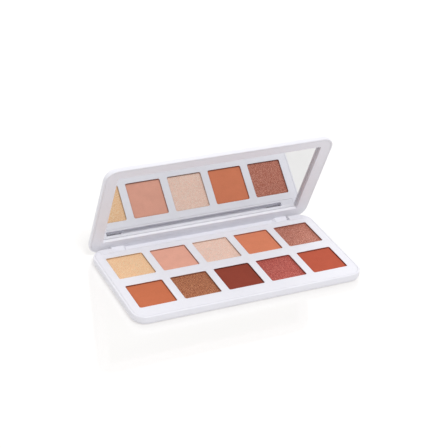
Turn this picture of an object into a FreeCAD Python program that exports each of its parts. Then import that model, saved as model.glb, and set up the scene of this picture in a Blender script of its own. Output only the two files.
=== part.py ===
"""Ten-pan eyeshadow palette with a mirrored, hinged lid.

Frame: millimetres, +Z up, +X to the user's right, +Y to the hinge side.
Origin: centre of the underside of the base, on the table.
The lid is modelled closed and then swung to its standing position, 70 degrees open.
"""
import FreeCAD, Part
import math
import os

V = FreeCAD.Vector
os.makedirs("parts", exist_ok=True)

# ---- case -------------------------------------------------------------------------------
WIDTH, DEPTH = 158.4, 78.6      # outline shared by base and lid
CORNER_R = 9.0                  # plan radius of the four corners
BASE_H = 6.4
LID_H = 4.3
LID_GAP = 0.25                  # air between the closed lid and the base
WALL = 1.3                      # rim left round each inset plate
FLOOR = 1.2
UNDER_R = 3.0                   # rounding under the base
LID_R = 2.6                     # rounding on top of the lid
RIM_R = 0.7                     # soft edge round the top of the base
LID_RIM_R = 0.4
SEAM = 0.12                     # joint line round each inset plate

# ---- windows, pans and powders ----------------------------------------------------------
COLS, ROWS = 5, 2
PITCH_X, PITCH_Y = 30.0, 32.9
WINDOW, WINDOW_R = 24.7, 1.1
WINDOW_EDGE_R = 0.2
PLATE_T = 0.9
CELL, CELL_R = 26.3, 1.6
CELL_WALL = 1.0
PAN, PAN_R, PAN_T = 26.0, 1.5, 0.4
PAN_TOP = BASE_H - PLATE_T

# ---- hinge ------------------------------------------------------------------------------
AXIS_Y, AXIS_Z = 37.8, 2.3
SLOT_HALF = 64.0                # half length of the slot in the rear edge of the base
SLOT_FRONT = 35.0
KNUCKLE_X0, KNUCKLE_X1, KNUCKLE_R = 55.2, 63.7, 1.75
BARREL_R = 1.5                  # slimmer barrel between the two knuckles
CRADLE_Z = 3.8                  # ledge of the base along the front of the barrel
CRADLE_GAP = 0.15
SLOT_EDGE_R = 0.3               # soft edge round the slot
PIN_D, PIN_X0, PIN_X1 = 1.5, 56.0, 70.5
PIN_RUN = 0.04                  # radial running clearance in the knuckles
OPEN_DEG = 70.0                 # how far the lid stands open

# ---- lid inset and mirror ---------------------------------------------------------------
LID_Z0 = BASE_H + LID_GAP
LID_Z1 = LID_Z0 + LID_H
FRAME_T = 2.1
VIEW_W, VIEW_D, VIEW_Y = 141.0, 61.8, -1.3   # mirror opening and its centre
MIRROR_LAP = 1.5                # mirror hidden behind the frame on each side
MIRROR_GAP = 0.1                # dark line between the frame and the glass
MIRROR_T = 0.9
GLUE_T = 0.15
MIRROR_Z = LID_Z0 + FRAME_T + MIRROR_GAP
LAND_HALF, LAND_Y = 65.3, 34.0  # solid land of the lid that carries the hinge

# ---- magnets ----------------------------------------------------------------------------
MAGNET_D, MAGNET_X, MAGNET_Y = 3.0, 45.0, -35.1
BASE_MAGNET_T, LID_MAGNET_T = 2.0, 1.3
MAGNET_SKIN = 0.75


def slab(w, d, r, z0, z1, cy=0.0):
    """Upright plate with rounded corners, centred on X = 0, Y = cy."""
    hw, hd, k = w / 2, d / 2, r * (1 - math.sqrt(0.5))
    edges = []
    for a, b, c, d2 in (
        ((-hw + r, -hd), (hw - r, -hd), (hw - k, -hd + k), (hw, -hd + r)),
        ((hw, -hd + r), (hw, hd - r), (hw - k, hd - k), (hw - r, hd)),
        ((hw - r, hd), (-hw + r, hd), (-hw + k, hd - k), (-hw, hd - r)),
        ((-hw, hd - r), (-hw, -hd + r), (-hw + k, -hd + k), (-hw + r, -hd)),
    ):
        pa, pb, pc, pd = (V(x, y + cy, z0) for x, y in (a, b, c, d2))
        edges += [Part.makeLine(pa, pb), Part.Arc(pb, pc, pd).toShape()]
    return Part.Face(Part.Wire(edges)).extrude(V(0, 0, z1 - z0))


def block(x0, x1, y0, y1, z0, z1):
    return Part.makeBox(x1 - x0, y1 - y0, z1 - z0, V(x0, y0, z0))


def rod(d, x0, x1, y=AXIS_Y, z=AXIS_Z):
    return Part.makeCylinder(d / 2, x1 - x0, V(x0, y, z), V(1, 0, 0))


def disc(d, x, y, z0, z1):
    return Part.makeCylinder(d / 2, z1 - z0, V(x, y, z0))


def soften(shape, r, z):
    """Fillet every edge lying at height z."""
    ring = [e for e in shape.Edges if all(abs(v.Z - z) < 1e-6 for v in e.Vertexes)]
    return shape.makeFillet(r, ring)


def centres():
    """(name suffix, x, y) of each window: front row first, left to right."""
    for row in range(ROWS):
        for col in range(COLS):
            name = ("front", "rear")[row] + "_" + str(col + 1)
            yield name, (col - (COLS - 1) / 2) * PITCH_X, (row - (ROWS - 1) / 2) * PITCH_Y


def square(size, r, x, y, z0, z1):
    s = slab(size, size, r, z0, z1)
    s.translate(V(x, y, 0))
    return s


def inner_outline(inset, z0, z1):
    return slab(WIDTH - 2 * inset, DEPTH - 2 * inset, CORNER_R - inset, z0, z1)


def cradle():
    """Ledge in front of the barrel, hollowed to follow it and stepped back at the knuckles."""
    y0, mid = SLOT_FRONT - 0.5, KNUCKLE_X0 - KNUCKLE_R - 0.3
    ledge = block(-mid, mid, y0, AXIS_Y - 0.8, 0, CRADLE_Z)
    ledge = ledge.cut(rod(2 * (BARREL_R + CRADLE_GAP), -mid, mid))
    low = block(-mid, mid, AXIS_Y - BARREL_R - CRADLE_GAP, DEPTH, -1, AXIS_Z)
    y1 = AXIS_Y - KNUCKLE_R - CRADLE_GAP
    return ledge.cut(low).fuse(block(-SLOT_HALF, SLOT_HALF, y0, y1, 0, CRADLE_Z))


def base_shell():
    body = soften(inner_outline(0, 0, BASE_H), UNDER_R, 0)
    body = soften(body, RIM_R, BASE_H)
    rear_land = block(-SLOT_HALF - 9, SLOT_HALF + 9, SLOT_FRONT - WALL, DEPTH, 0, BASE_H + 2)
    body = body.cut(inner_outline(WALL, FLOOR, BASE_H + 2).cut(rear_land))
    body = body.cut(block(-SLOT_HALF, SLOT_HALF, SLOT_FRONT, DEPTH, -1, BASE_H + 1))
    body = body.fuse(cradle()).removeSplitter()
    lip = [e for e in body.Edges if all(abs(v.Z - BASE_H) < 1e-6 and v.Y > SLOT_FRONT - 1e-6
                                        and abs(v.X) < SLOT_HALF + 1e-6 for v in e.Vertexes)]
    body = body.makeFillet(SLOT_EDGE_R, lip)
    return body.cut(rod(PIN_D, SLOT_HALF - 1, PIN_X1)).cut(rod(PIN_D, -PIN_X1, 1 - SLOT_HALF))


def pan_tray():
    gap = WALL + SEAM
    plate = inner_outline(gap, PAN_TOP, BASE_H)
    edge = SLOT_HALF + 9 + SEAM
    plate = plate.cut(block(-edge, edge, SLOT_FRONT - gap, DEPTH, 0, BASE_H + 1))
    for _, x, y in centres():
        plate = plate.cut(square(WINDOW, WINDOW_R, x, y, PAN_TOP - 1, BASE_H + 1))
    rims = [e for e in plate.Edges if all(abs(v.Z - BASE_H) < 1e-6 for v in e.Vertexes)
            and abs(e.BoundBox.Center.y) < SLOT_FRONT - 5
            and abs(e.BoundBox.Center.x) < WIDTH / 2 - 5]
    plate = plate.makeFillet(WINDOW_EDGE_R, rims)
    half_x = (COLS - 1) / 2 * PITCH_X + CELL / 2 + CELL_WALL
    half_y = CELL / 2 + CELL_WALL
    for cy in (-PITCH_Y / 2, PITCH_Y / 2):
        plate = plate.fuse(block(-half_x, half_x, cy - half_y, cy + half_y, FLOOR, PAN_TOP)
                           .cut(block(-half_x + CELL_WALL, half_x - CELL_WALL,
                                      cy - half_y + CELL_WALL, cy + half_y - CELL_WALL, 0, 9)))
        for i in range(COLS - 1):
            x = (i - (COLS - 2) / 2) * PITCH_X
            w = (PITCH_X - CELL) / 2
            plate = plate.fuse(block(x - w, x + w, cy - half_y + 0.5, cy + half_y - 0.5,
                                     FLOOR, PAN_TOP))
    for x in (-MAGNET_X, MAGNET_X):
        top = BASE_H - MAGNET_SKIN
        plate = plate.fuse(disc(MAGNET_D + 2.0, x, MAGNET_Y, top - BASE_MAGNET_T, PAN_TOP))
        plate = plate.cut(disc(MAGNET_D, x, MAGNET_Y, 0, top))
    return plate.removeSplitter()


def pan(x, y):
    outer = soften(square(PAN, PAN_R, x, y, FLOOR, PAN_TOP), 0.5, FLOOR)
    return outer.cut(square(PAN - 2 * PAN_T, PAN_R - PAN_T, x, y, FLOOR + PAN_T, PAN_TOP + 1))


def powder(x, y):
    return square(PAN - 2 * PAN_T, PAN_R - PAN_T, x, y, FLOOR + PAN_T, PAN_TOP)


def lid_land(grow, z0, z1):
    half = LAND_HALF + grow
    return block(-half, half, LAND_Y - grow, DEPTH, z0, z1)


def hinge_lug():
    """Full-length barrel with a knuckle at each end, hanging from the lid's rear edge."""
    rear, top = DEPTH / 2, LID_Z0 + 1.0
    lug = rod(2 * BARREL_R, -KNUCKLE_X0 - 1, KNUCKLE_X0 + 1)
    lug = lug.fuse(block(-KNUCKLE_X0 - 1, KNUCKLE_X0 + 1, AXIS_Y, rear, AXIS_Z, top))
    for s in (-1, 1):
        x0, x1 = sorted((s * KNUCKLE_X0, s * KNUCKLE_X1))
        lug = lug.fuse(rod(2 * KNUCKLE_R, x0, x1))
        lug = lug.fuse(block(x0, x1, AXIS_Y - KNUCKLE_R, rear, AXIS_Z, top))
        root = s * KNUCKLE_X0
        gusset = Part.makePolygon([V(root, AXIS_Y - KNUCKLE_R, AXIS_Z), V(root, AXIS_Y, AXIS_Z),
                                   V(root - s * KNUCKLE_R, AXIS_Y, AXIS_Z),
                                   V(root, AXIS_Y - KNUCKLE_R, AXIS_Z)])
        lug = lug.fuse(Part.Face(gusset).extrude(V(0, 0, top - AXIS_Z)))
    return lug


def lid_cover():
    body = soften(inner_outline(0, LID_Z0, LID_Z1), LID_R, LID_Z1)
    body = soften(body, LID_RIM_R, LID_Z0)
    inset = inner_outline(WALL, LID_Z0 - 1, LID_Z0 + FRAME_T)
    body = body.cut(inset.cut(lid_land(0, 0, LID_Z1)))
    w, d = VIEW_W + 2 * MIRROR_LAP + 0.3, VIEW_D + 2 * MIRROR_LAP + 0.3
    body = body.cut(slab(w, d, 2, LID_Z0, MIRROR_Z + MIRROR_T + GLUE_T, VIEW_Y))
    body = body.fuse(hinge_lug())
    bore = PIN_D + 2 * PIN_RUN
    for s in (-1, 1):
        x0, x1 = sorted((s * (PIN_X0 - 0.3), s * (KNUCKLE_X1 + 1)))
        body = body.cut(rod(bore, x0, x1))
    return body.removeSplitter()


def mirror_frame():
    frame = inner_outline(WALL + SEAM, LID_Z0, LID_Z0 + FRAME_T)
    frame = frame.cut(lid_land(SEAM, 0, LID_Z1))
    frame = frame.cut(slab(VIEW_W, VIEW_D, 0.8, LID_Z0 - 1, LID_Z1, VIEW_Y))
    for x in (-MAGNET_X, MAGNET_X):
        frame = frame.cut(disc(MAGNET_D, x, MAGNET_Y, LID_Z0 + MAGNET_SKIN, LID_Z1))
    return frame


def mirror():
    w, d = VIEW_W + 2 * MIRROR_LAP, VIEW_D + 2 * MIRROR_LAP
    return slab(w, d, 2, MIRROR_Z, MIRROR_Z + MIRROR_T, VIEW_Y)


def mirror_adhesive():
    z = MIRROR_Z + MIRROR_T
    return slab(VIEW_W - 4, VIEW_D - 4, 3, z, z + GLUE_T, VIEW_Y)


def hinge_pin(side):
    x0, x1 = sorted((side * PIN_X0, side * PIN_X1))
    pin = rod(PIN_D, x0, x1)
    return pin.makeChamfer(0.2, [e for e in pin.Edges if e.BoundBox.XLength < 1e-6])


def swing_open(shape):
    shape.rotate(V(0, AXIS_Y, AXIS_Z), V(1, 0, 0), -OPEN_DEG)
    return shape


def save(name, shape):
    shape.exportStep("parts/" + name + ".step")


save("base_shell", base_shell())
save("pan_tray", pan_tray())
for suffix, cx, cy in centres():
    save("pan_" + suffix, pan(cx, cy))
    save("powder_" + suffix, powder(cx, cy))
save("lid_cover", swing_open(lid_cover()))
save("mirror_frame", swing_open(mirror_frame()))
save("mirror", swing_open(mirror()))
save("mirror_adhesive", swing_open(mirror_adhesive()))
for side, word in ((-1, "left"), (1, "right")):
    magnet_x = side * MAGNET_X
    low = BASE_H - MAGNET_SKIN - BASE_MAGNET_T
    save("hinge_pin_" + word, hinge_pin(side))
    save("base_magnet_" + word, disc(MAGNET_D, magnet_x, MAGNET_Y, low, low + BASE_MAGNET_T))
    low = LID_Z0 + MAGNET_SKIN
    save("lid_magnet_" + word,
         swing_open(disc(MAGNET_D, magnet_x, MAGNET_Y, low, low + LID_MAGNET_T)))
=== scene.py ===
"""Eyeshadow palette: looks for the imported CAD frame. Metres, in the row's frame."""

import math

import bpy
from mathutils import Matrix, Vector, noise


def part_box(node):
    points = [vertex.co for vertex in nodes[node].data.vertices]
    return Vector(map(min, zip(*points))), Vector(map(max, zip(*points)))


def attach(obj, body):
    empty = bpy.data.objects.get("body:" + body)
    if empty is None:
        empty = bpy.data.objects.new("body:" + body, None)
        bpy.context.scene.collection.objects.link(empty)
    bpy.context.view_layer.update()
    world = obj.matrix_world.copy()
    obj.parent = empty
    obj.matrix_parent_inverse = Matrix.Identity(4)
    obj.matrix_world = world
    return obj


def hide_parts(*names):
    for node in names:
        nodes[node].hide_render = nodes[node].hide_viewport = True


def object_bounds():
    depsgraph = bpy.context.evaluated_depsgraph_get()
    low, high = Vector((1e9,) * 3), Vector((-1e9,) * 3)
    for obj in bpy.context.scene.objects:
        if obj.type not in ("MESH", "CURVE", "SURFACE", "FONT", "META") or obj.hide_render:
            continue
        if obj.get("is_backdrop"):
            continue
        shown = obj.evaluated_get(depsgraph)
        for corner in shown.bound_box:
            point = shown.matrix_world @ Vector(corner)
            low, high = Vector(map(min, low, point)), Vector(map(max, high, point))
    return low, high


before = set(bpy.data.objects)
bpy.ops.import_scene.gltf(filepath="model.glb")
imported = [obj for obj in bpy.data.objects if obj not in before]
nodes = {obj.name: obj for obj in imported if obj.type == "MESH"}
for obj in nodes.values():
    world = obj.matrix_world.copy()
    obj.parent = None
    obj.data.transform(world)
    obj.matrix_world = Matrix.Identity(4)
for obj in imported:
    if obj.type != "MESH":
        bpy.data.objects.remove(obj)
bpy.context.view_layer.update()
MM = 0.001

# ---- camera, at the photograph's viewing angle -------------------------------------------
CAM_AT = (-0.3375, -0.6177, 0.4554)
AZIMUTH, ELEVATION, ROLL = 28.28, 30.88, 5.23     # degrees
LENS, SENSOR = 104.9, 36.0                        # millimetres, as Blender takes them

# ---- powder cakes ------------------------------------------------------------------------
WINDOW, WINDOW_R = 24.7 * MM, 1.1 * MM            # openings in the tray: side, corner radius
RIM_SHADE_WIDTH = 1.1 * MM                              # painted shade: band darkened inside a window's edge, where the wall shades the powder
CAKE_INSET, CAKE_R = 0.06 * MM, 1.1 * MM          # gap to the CAD box, corner radius
CAKE_CELLS = 72                                   # grid squares along a cake's side
WEAR_DEPTH, WEAR_WIDTH = 0.16, 0.28 * MM          # rounded-off edge: depth in mm, width in m
CROWN, DIMPLES, LEAST_SINK = 0.015, 0.009, 0.004  # mm below the CAD face
# powder film on the well wall: dust, and also painted shade that darkens the white wall
FILM_INSETS = (0.05, 0.008)                       # mm: the film's inner and outer side
FILM_RISE, FILM_WAVER, FILM_FOOT = 0.60, 0.10, -0.12     # mm above the cake's face

# shade: base colour, flake colour (None on matte powder), kind
SHADES = {
    "rear_1": ((0.89, 0.52, 0.28), (1.00, 0.84, 0.58), "satin"),
    "rear_2": ((0.755, 0.375, 0.280), None, "matte"),
    "rear_3": ((0.92, 0.590, 0.468), (1.00, 0.88, 0.78), "pearl"),
    "rear_4": ((0.67, 0.215, 0.112), None, "matte"),
    "rear_5": ((0.42, 0.118, 0.070), (0.86, 0.42, 0.32), "shimmer"),
    "front_1": ((0.545, 0.150, 0.066), None, "matte"),
    "front_2": ((0.305, 0.074, 0.026), (0.88, 0.42, 0.20), "shimmer"),
    "front_3": ((0.255, 0.042, 0.022), None, "matte"),
    "front_4": ((0.385, 0.052, 0.036), (0.82, 0.22, 0.17), "shimmer"),
    "front_5": ((0.475, 0.090, 0.046), None, "matte"),
}
# kind: share of the surface that coarse flakes cover, how metallic the flakes are
GLITTER = {"satin": (0.10, 0.35), "pearl": (0.14, 0.45), "shimmer": (0.13, 0.60)}


# ---- node helpers ------------------------------------------------------------------------
class Nodes:
    """A material's node tree, with short calls for the nodes used here."""

    def __init__(self, name):
        self.mat = bpy.data.materials.new(name)
        self.mat.use_nodes = True
        self.tree = self.mat.node_tree
        self.tree.nodes.clear()
        self.bsdf = self.add("ShaderNodeBsdfPrincipled")
        out = self.add("ShaderNodeOutputMaterial")
        self.link(self.bsdf.outputs["BSDF"], out.inputs["Surface"])
        self.coords = self.add("ShaderNodeTexCoord").outputs["Object"]

    def add(self, kind, **settings):
        n = self.tree.nodes.new(kind)
        for k, v in settings.items():
            setattr(n, k, v)
        return n

    def link(self, a, b):
        self.tree.links.new(a, b)

    def put(self, n, socket, value):
        if isinstance(value, bpy.types.NodeSocket):
            self.link(value, n.inputs[socket])
        else:
            n.inputs[socket].default_value = value

    def shader(self, **sockets):
        for k, v in sockets.items():
            self.put(self.bsdf, k.replace("_", " "), v)

    def noise(self, scale, detail=3.0, rough=0.55):
        n = self.add("ShaderNodeTexNoise")
        self.link(self.coords, n.inputs["Vector"])
        for k, v in (("Scale", scale), ("Detail", detail), ("Roughness", rough)):
            n.inputs[k].default_value = v
        return n.outputs["Fac"]

    def cells(self, scale):
        n = self.add("ShaderNodeTexVoronoi")
        self.link(self.coords, n.inputs["Vector"])
        n.inputs["Scale"].default_value = scale
        return n

    def ramp(self, fac, *stops):
        n = self.add("ShaderNodeValToRGB")
        self.link(fac, n.inputs["Fac"])
        while len(n.color_ramp.elements) < len(stops):
            n.color_ramp.elements.new(0.5)
        for e, (pos, col) in zip(n.color_ramp.elements, stops):
            e.position = pos
            e.color = (*col, 1.0) if isinstance(col, tuple) else (col, col, col, 1.0)
        return n.outputs["Color"]

    def span(self, fac, lo, hi, to_lo, to_hi):
        n = self.add("ShaderNodeMapRange")
        self.link(fac, n.inputs["Value"])
        limits = (("From Min", lo), ("From Max", hi), ("To Min", to_lo), ("To Max", to_hi))
        for k, v in limits:
            n.inputs[k].default_value = v
        return n.outputs["Result"]

    def math(self, op, a, b):
        n = self.add("ShaderNodeMath", operation=op)
        self.put(n, 0, a)
        self.put(n, 1, b)
        return n.outputs[0]

    def mix(self, fac, a, b, blend="MIX"):
        n = self.add("ShaderNodeMix", data_type="RGBA", blend_type=blend)
        self.put(n, 0, fac)
        for i, v in ((6, a), (7, b)):
            self.put(n, i, (*v, 1.0) if isinstance(v, tuple) else v)
        return n.outputs[2]

    def vector(self, op, a, b=None):
        n = self.add("ShaderNodeVectorMath", operation=op)
        self.put(n, 0, a)
        if op == "SCALE":
            self.put(n, "Scale", b)
        elif b is not None:
            self.put(n, 1, b)
        return n.outputs[0]

    def bump(self, height, strength, distance, below=None):
        n = self.add("ShaderNodeBump")
        self.link(height, n.inputs["Height"])
        n.inputs["Strength"].default_value = strength
        n.inputs["Distance"].default_value = distance
        if below is not None:
            self.link(below, n.inputs["Normal"])
        return n.outputs["Normal"]


# ---- materials ---------------------------------------------------------------------------
def case_plastic(name, low, high, rough):
    """Moulded satin plastic: faint flow clouding, fine grain, a little light inside."""
    m = Nodes(name)
    cloud = m.noise(38.0, 4.0)
    grain = m.noise(5200.0, 2.0)
    tint = m.ramp(cloud, (0.30, low), (0.72, high))
    speck = m.span(grain, 0.3, 0.7, 0.985, 1.0)
    m.shader(Base_Color=m.mix(1.0, tint, speck, "MULTIPLY"),
             Roughness=m.span(m.noise(260.0, 5.0), 0.25, 0.75, rough - 0.04, rough + 0.05),
             Normal=m.bump(grain, 0.10, 0.00002, m.bump(m.noise(60.0, 2.0), 0.10, 0.0001)),
             Subsurface_Weight=0.04, Subsurface_Radius=(0.7, 0.7, 0.8), Subsurface_Scale=0.0008,
             Coat_Weight=0.08, Coat_Roughness=0.20, IOR=1.46)
    return m.mat


def silvered_glass():
    m = Nodes("silvered_glass")
    haze = m.noise(90.0, 5.0)
    tint = m.ramp(haze, (0.3, (0.825, 0.832, 0.836)), (0.8, (0.845, 0.852, 0.856)))
    m.shader(Base_Color=tint, Metallic=1.0, Roughness=m.span(haze, 0.3, 0.8, 0.004, 0.016))
    return m.mat


def pressed_tin():
    m = Nodes("pressed_tin")
    m.shader(Base_Color=m.ramp(m.noise(420.0), (0.3, 0.60), (0.7, 0.72)), Metallic=1.0,
             Roughness=m.span(m.noise(1500.0), 0.3, 0.7, 0.26, 0.40),
             Normal=m.bump(m.noise(2600.0), 0.12, 0.00002))
    return m.mat


def pin_steel():
    m = Nodes("pin_steel")
    m.shader(Base_Color=m.ramp(m.noise(700.0), (0.3, 0.46), (0.7, 0.58)), Metallic=1.0,
             Roughness=m.span(m.noise(2200.0), 0.3, 0.7, 0.20, 0.34))
    return m.mat


def magnet_nickel():
    m = Nodes("magnet_nickel")
    tint = m.ramp(m.noise(600.0), (0.3, (0.62, 0.60, 0.56)), (0.7, (0.70, 0.68, 0.64)))
    m.shader(Base_Color=tint, Metallic=1.0,
             Roughness=m.span(m.noise(1800.0), 0.3, 0.7, 0.14, 0.24))
    return m.mat


def tape():
    m = Nodes("mirror_tape")
    tint = m.ramp(m.noise(900.0), (0.3, (0.72, 0.71, 0.66)), (0.7, (0.80, 0.79, 0.74)))
    m.shader(Base_Color=tint, Roughness=0.8, Normal=m.bump(m.noise(2400.0), 0.2, 0.00003))
    return m.mat


def pressed_powder(name, centre, body, fleck, kind):
    """Pressed pigment. Matte shades are chalky, and the other kinds carry mica flakes."""
    m = Nodes("powder_" + name)
    split = m.add("ShaderNodeSeparateXYZ")
    m.link(m.vector("ABSOLUTE", m.vector("SUBTRACT", m.coords, centre)), split.inputs[0])
    reach = m.math("MAXIMUM", split.outputs["X"], split.outputs["Y"])
    half = WINDOW / 2
    # painted shade: the powder darkens towards the window's edge, where the wall shades it, and
    # the flakes fade there too
    painted_rim_shade = m.ramp(m.span(reach, half - RIM_SHADE_WIDTH, half, 0.0, 1.0),
                 (0.0, 1.0), (0.55, 0.90), (0.88, 0.66), (0.96, 0.42))
    dark = tuple(c * 0.95 for c in body)
    light = tuple(min(1.0, c * 1.04) for c in body)
    tint = m.ramp(m.noise(170.0, 5.0, 0.6), (0.28, dark), (0.74, light))
    grain = m.noise(6800.0, 3.0, 0.7)
    tint = m.mix(1.0, tint, m.span(grain, 0.25, 0.75, 0.88, 1.08), "MULTIPLY")
    tint = m.mix(1.0, tint, painted_rim_shade, "MULTIPLY")
    low = m.bump(m.noise(420.0, 4.0), 0.08, 0.0002)
    normal = m.bump(grain, 0.55, 0.00006, low)
    if kind == "matte":
        m.shader(Base_Color=tint, Roughness=0.94, Specular_IOR_Level=0.16, Normal=normal,
                 Sheen_Weight=0.05, Sheen_Roughness=0.6)
        return m.mat
    # mica: fine flakes all over and a few coarse ones, each with its own tilt
    coarse, bright = GLITTER[kind]
    lit, lean = 0.0, None
    fine_layer = (5200.0, 0.62, 0.80, 0.45)
    coarse_layer = (2500.0, 1.0 - coarse, 1.02 - coarse, 0.8)
    for scale, off_at, on_at, tilt in (fine_layer, coarse_layer):
        cell = m.cells(scale)
        split = m.add("ShaderNodeSeparateColor")
        m.link(cell.outputs["Color"], split.inputs["Color"])
        on = m.span(split.outputs["Red"], off_at, on_at, 0.0, 1.0)
        lit = on if lean is None else m.math("MAXIMUM", lit, on)
        centred = m.vector("SUBTRACT", cell.outputs["Color"], (0.5, 0.5, 0.5))
        step = m.vector("SCALE", centred, m.math("MULTIPLY", on, tilt))
        lean = step if lean is None else m.vector("ADD", lean, step)
    unit = m.vector("NORMALIZE", m.vector("ADD", normal, lean))
    mottle = m.span(m.noise(1500.0, 2.0, 0.6), 0.35, 0.62, 1.0, 1.0 - 0.3 * bright)
    deep = m.mix(1.0, tint, mottle, "MULTIPLY")
    lit = m.math("MULTIPLY", lit, painted_rim_shade)
    m.shader(Base_Color=m.mix(m.math("MULTIPLY", lit, 0.75), deep, fleck),
             Metallic=m.math("MULTIPLY", lit, bright),
             Roughness=m.span(lit, 0.0, 1.0, 0.85, 0.30), Normal=unit,
             Sheen_Weight=0.05, Sheen_Roughness=0.5)
    return m.mat


def floor_material():
    """Pale, polished light table: partly lit from below, so shadows on it stay faint."""
    m = Nodes("studio_floor")
    m.shader(Base_Color=m.ramp(m.noise(3.0), (0.3, 0.45), (0.7, 0.47)), Roughness=0.6,
             Specular_IOR_Level=0.0, Coat_Weight=1.0, Coat_Roughness=0.05, Coat_IOR=1.75,
             Emission_Color=(1.0, 0.97, 0.94, 1.0), Emission_Strength=0.47)
    return m.mat


# ---- cake meshes -------------------------------------------------------------------------
def rounded_point(u, v, half, r):
    """(u, v) in -1..1 mapped into a square of that half size with corner radius r."""
    x, y = u * half, v * half
    k = half - r
    ex, ey = max(abs(x) - k, 0.0), max(abs(y) - k, 0.0)
    if ex > 0.0 and ey > 0.0:
        reach = max(ex, ey)
        d = math.hypot(ex, ey)
        x = math.copysign(k + ex * reach / d, x)
        y = math.copysign(k + ey * reach / d, y)
    return x, y


def rounded_ring(half, r, per_side=14, per_corner=6):
    """Points round a square with rounded corners, anticlockwise."""
    ring, k = [], half - r
    for q in range(4):
        turn = q * math.pi / 2
        side = [Vector((half, -k + 2 * k * i / per_side)) for i in range(per_side)]
        bend = [Vector((k + r * math.cos(a), k + r * math.sin(a)))
                for a in (i * math.pi / 2 / per_corner for i in range(per_corner))]
        ring += [Matrix.Rotation(turn, 2) @ p for p in side + bend]
    return ring


def wall_film_dust_and_shade(verts, faces, mid, z, seed):
    """Film of powder clinging to the wall of the well, with an uneven top edge. Besides dust,
    it is painted shade: it covers the white wall with dark powder colour.
    """
    inner, outer = (rounded_ring(WINDOW / 2 - inset * MM, WINDOW_R - inset * MM)
                    for inset in FILM_INSETS)
    start, n = len(verts), len(inner)
    for ring, top in ((inner, False), (inner, True), (outer, True), (outer, False)):
        for p in ring:
            waver = noise.noise(Vector((p.x * 700, p.y * 700, seed * 3.1)))
            rise = FILM_RISE + FILM_WAVER * waver if top else FILM_FOOT
            verts.append((mid.x + p.x, mid.y + p.y, z + rise * MM))
    for band in range(4):
        for i in range(n):
            a, b = start + band * n, start + (band + 1) % 4 * n
            j = (i + 1) % n
            faces.append((a + j, a + i, b + i, b + j))


def powder_cake(name, seed):
    """The cake in its pan: a pressed face with a slight crown, worn edges and dimples."""
    lo, hi = (Vector(c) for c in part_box("powder_" + name))
    mid, half = (lo + hi) / 2, (hi.x - lo.x) / 2
    n = CAKE_CELLS
    inner = half - CAKE_INSET
    verts, faces = [], []
    for j in range(n + 1):
        for i in range(n + 1):
            u, v = 2 * i / n - 1, 2 * j / n - 1
            u, v = (math.sin(w * math.pi / 2) * 0.25 + w * 0.75 for w in (u, v))
            x, y = rounded_point(u, v, inner, CAKE_R)
            edge = (1 - max(abs(u), abs(v))) * inner
            p = Vector((x * 90, y * 90, seed * 7.3))
            sink = DIMPLES * (noise.fractal(p, 0.8, 2.0, 4) + 0.6) + CROWN * (u * u + v * v)
            sink += WEAR_DEPTH * math.exp(-edge / WEAR_WIDTH) * (0.8 + 0.5 * noise.noise(p * 9))
            verts.append((mid.x + x, mid.y + y, hi.z - max(LEAST_SINK, sink) * MM))
    row = n + 1
    for j in range(n):
        for i in range(n):
            a = j * row + i
            faces.append((a, a + 1, a + row + 1, a + row))
    ring = list(range(row)) + [j * row + n for j in range(1, row)]
    ring += [n * row + i for i in range(n - 1, -1, -1)] + [j * row for j in range(n - 1, 0, -1)]
    start = len(verts)
    verts += [(verts[k][0], verts[k][1], lo.z + 0.02 * MM) for k in ring]
    for k in range(len(ring)):
        nxt = (k + 1) % len(ring)
        faces.append((ring[nxt], ring[k], start + k, start + nxt))
    faces.append(tuple(start + k for k in reversed(range(len(ring)))))
    smooth = [True] * (len(faces) - 1) + [False]
    # the wall film: dust, and painted shade on the well's wall
    wall_film_dust_and_shade(verts, faces, mid, hi.z, seed)
    smooth += [False] * (len(faces) - len(smooth))
    mesh = bpy.data.meshes.new("cake_" + name)
    mesh.from_pydata(verts, [], faces)
    mesh.polygons.foreach_set("use_smooth", smooth)
    mesh.update()
    obj = bpy.data.objects.new("cake_" + name, mesh)
    bpy.context.collection.objects.link(obj)
    obj.data.materials.append(pressed_powder(name, mid, *SHADES[name]))
    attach(obj, "base")
    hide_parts("powder_" + name)


# ---- carried-over CAD nodes --------------------------------------------------------------
def dress(node, material):
    """Give a CAD node a material, on the object and not on its mesh."""
    obj = nodes[node]
    if not obj.material_slots:
        obj.data.materials.append(None)
    for s in obj.material_slots:
        s.link = "OBJECT"
        s.material = material


white = case_plastic("case_white", (0.755, 0.750, 0.800), (0.785, 0.780, 0.828), 0.34)
tray_white = case_plastic("tray_white", (0.765, 0.760, 0.812), (0.790, 0.785, 0.838), 0.36)
dress("base_shell", white)
dress("lid_cover", white)
dress("pan_tray", tray_white)
dress("mirror_frame", tray_white)
dress("mirror", silvered_glass())
dress("mirror_adhesive", tape())
tin, steel, nickel = pressed_tin(), pin_steel(), magnet_nickel()
for n in nodes:
    if n.startswith("pan_") and n != "pan_tray":
        dress(n, tin)
    elif n.startswith("hinge_pin"):
        dress(n, steel)
    elif "magnet" in n:
        dress(n, nickel)
for k, shade in enumerate(SHADES):
    powder_cake(shade, k + 1)


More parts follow.
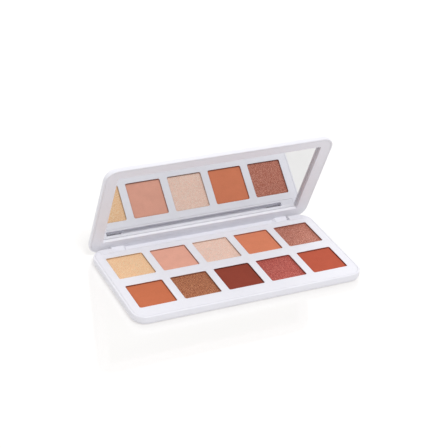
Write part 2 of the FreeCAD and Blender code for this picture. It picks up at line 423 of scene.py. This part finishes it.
# ---- studio ------------------------------------------------------------------------------
def studio_floor():
    lo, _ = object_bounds()
    n, reach, drop = 24, 3.0, 0.0001
    verts = []
    for j in range(n + 1):
        for i in range(n + 1):
            u, v = 2 * i / n - 1, 2 * j / n - 1
            verts.append((reach * u, reach * v, lo[2] - drop))
    row = n + 1
    corners = [j * row + i for j in range(n) for i in range(n)]
    faces = [(a, a + 1, a + row + 1, a + row) for a in corners]
    mesh = bpy.data.meshes.new("studio_floor")
    mesh.from_pydata(verts, [], faces)
    obj = bpy.data.objects.new("studio_floor", mesh)
    bpy.context.collection.objects.link(obj)
    obj.data.materials.append(floor_material())
    obj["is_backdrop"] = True


def sky_light(level, *stops):
    """White surround. Each stop: direction along Y (-1 front, 1 rear), share of level."""
    world = bpy.data.worlds.new("studio")
    world.use_nodes = True
    tree = world.node_tree
    back = tree.nodes["Background"]
    split = tree.nodes.new("ShaderNodeSeparateXYZ")
    scale = tree.nodes.new("ShaderNodeMapRange")
    ramp = tree.nodes.new("ShaderNodeValToRGB")
    tree.links.new(tree.nodes.new("ShaderNodeTexCoord").outputs["Generated"], split.inputs[0])
    tree.links.new(split.outputs["Y"], scale.inputs["Value"])
    scale.inputs["From Min"].default_value = -1.0
    tree.links.new(scale.outputs["Result"], ramp.inputs["Fac"])
    while len(ramp.color_ramp.elements) < len(stops):
        ramp.color_ramp.elements.new(0.5)
    for e, (y, share) in zip(ramp.color_ramp.elements, stops):
        e.position, e.color = (y + 1) / 2, (share, share, share, 1.0)
    tree.links.new(ramp.outputs["Color"], back.inputs["Color"])
    back.inputs["Strength"].default_value = level
    bpy.context.scene.world = world


def sun(name, strength, angle, azimuth, elevation, colour=(1.0, 1.0, 1.0)):
    """A wide, soft light. Azimuth 0 comes from the front, positive from the right."""
    light = bpy.data.lights.new(name, "SUN")
    light.energy, light.angle, light.color = strength, math.radians(angle), colour
    obj = bpy.data.objects.new(name, light)
    bpy.context.collection.objects.link(obj)
    az, el = math.radians(azimuth), math.radians(elevation)
    toward = Vector((math.sin(az) * math.cos(el), -math.cos(az) * math.cos(el), math.sin(el)))
    obj.rotation_euler = toward.to_track_quat("Z", "Y").to_euler()


def photo_camera():
    az, el, roll = (math.radians(a) for a in (AZIMUTH, ELEVATION, ROLL))
    ahead = Vector((math.sin(az) * math.cos(el), math.cos(az) * math.cos(el), -math.sin(el)))
    right = Vector((math.cos(az), -math.sin(az), 0.0))
    up = right.cross(ahead)
    right, up = (right * math.cos(roll) + up * math.sin(roll),
                 up * math.cos(roll) - right * math.sin(roll))
    cam = bpy.data.cameras.new("camera")
    cam.sensor_width, cam.lens = SENSOR, LENS
    cam.clip_start, cam.clip_end = 0.01, 50.0
    obj = bpy.data.objects.new("camera", cam)
    bpy.context.collection.objects.link(obj)
    turn = Matrix((right, up, -ahead)).transposed().to_4x4()
    obj.matrix_world = Matrix.Translation(CAM_AT) @ turn
    bpy.context.scene.camera = obj


studio_floor()
sky_light(0.98, (-1.0, 0.42), (0.0, 0.76), (0.55, 1.25))
sun("key", 1.60, 18.0, 0.0, 55.0)
sun("fill", 0.10, 60.0, 0.0, 38.0, (0.72, 0.86, 1.0))
photo_camera()
view = bpy.context.scene.view_settings
view.view_transform, view.look, view.exposure, view.gamma = "Standard", "None", 0.0, 1.0
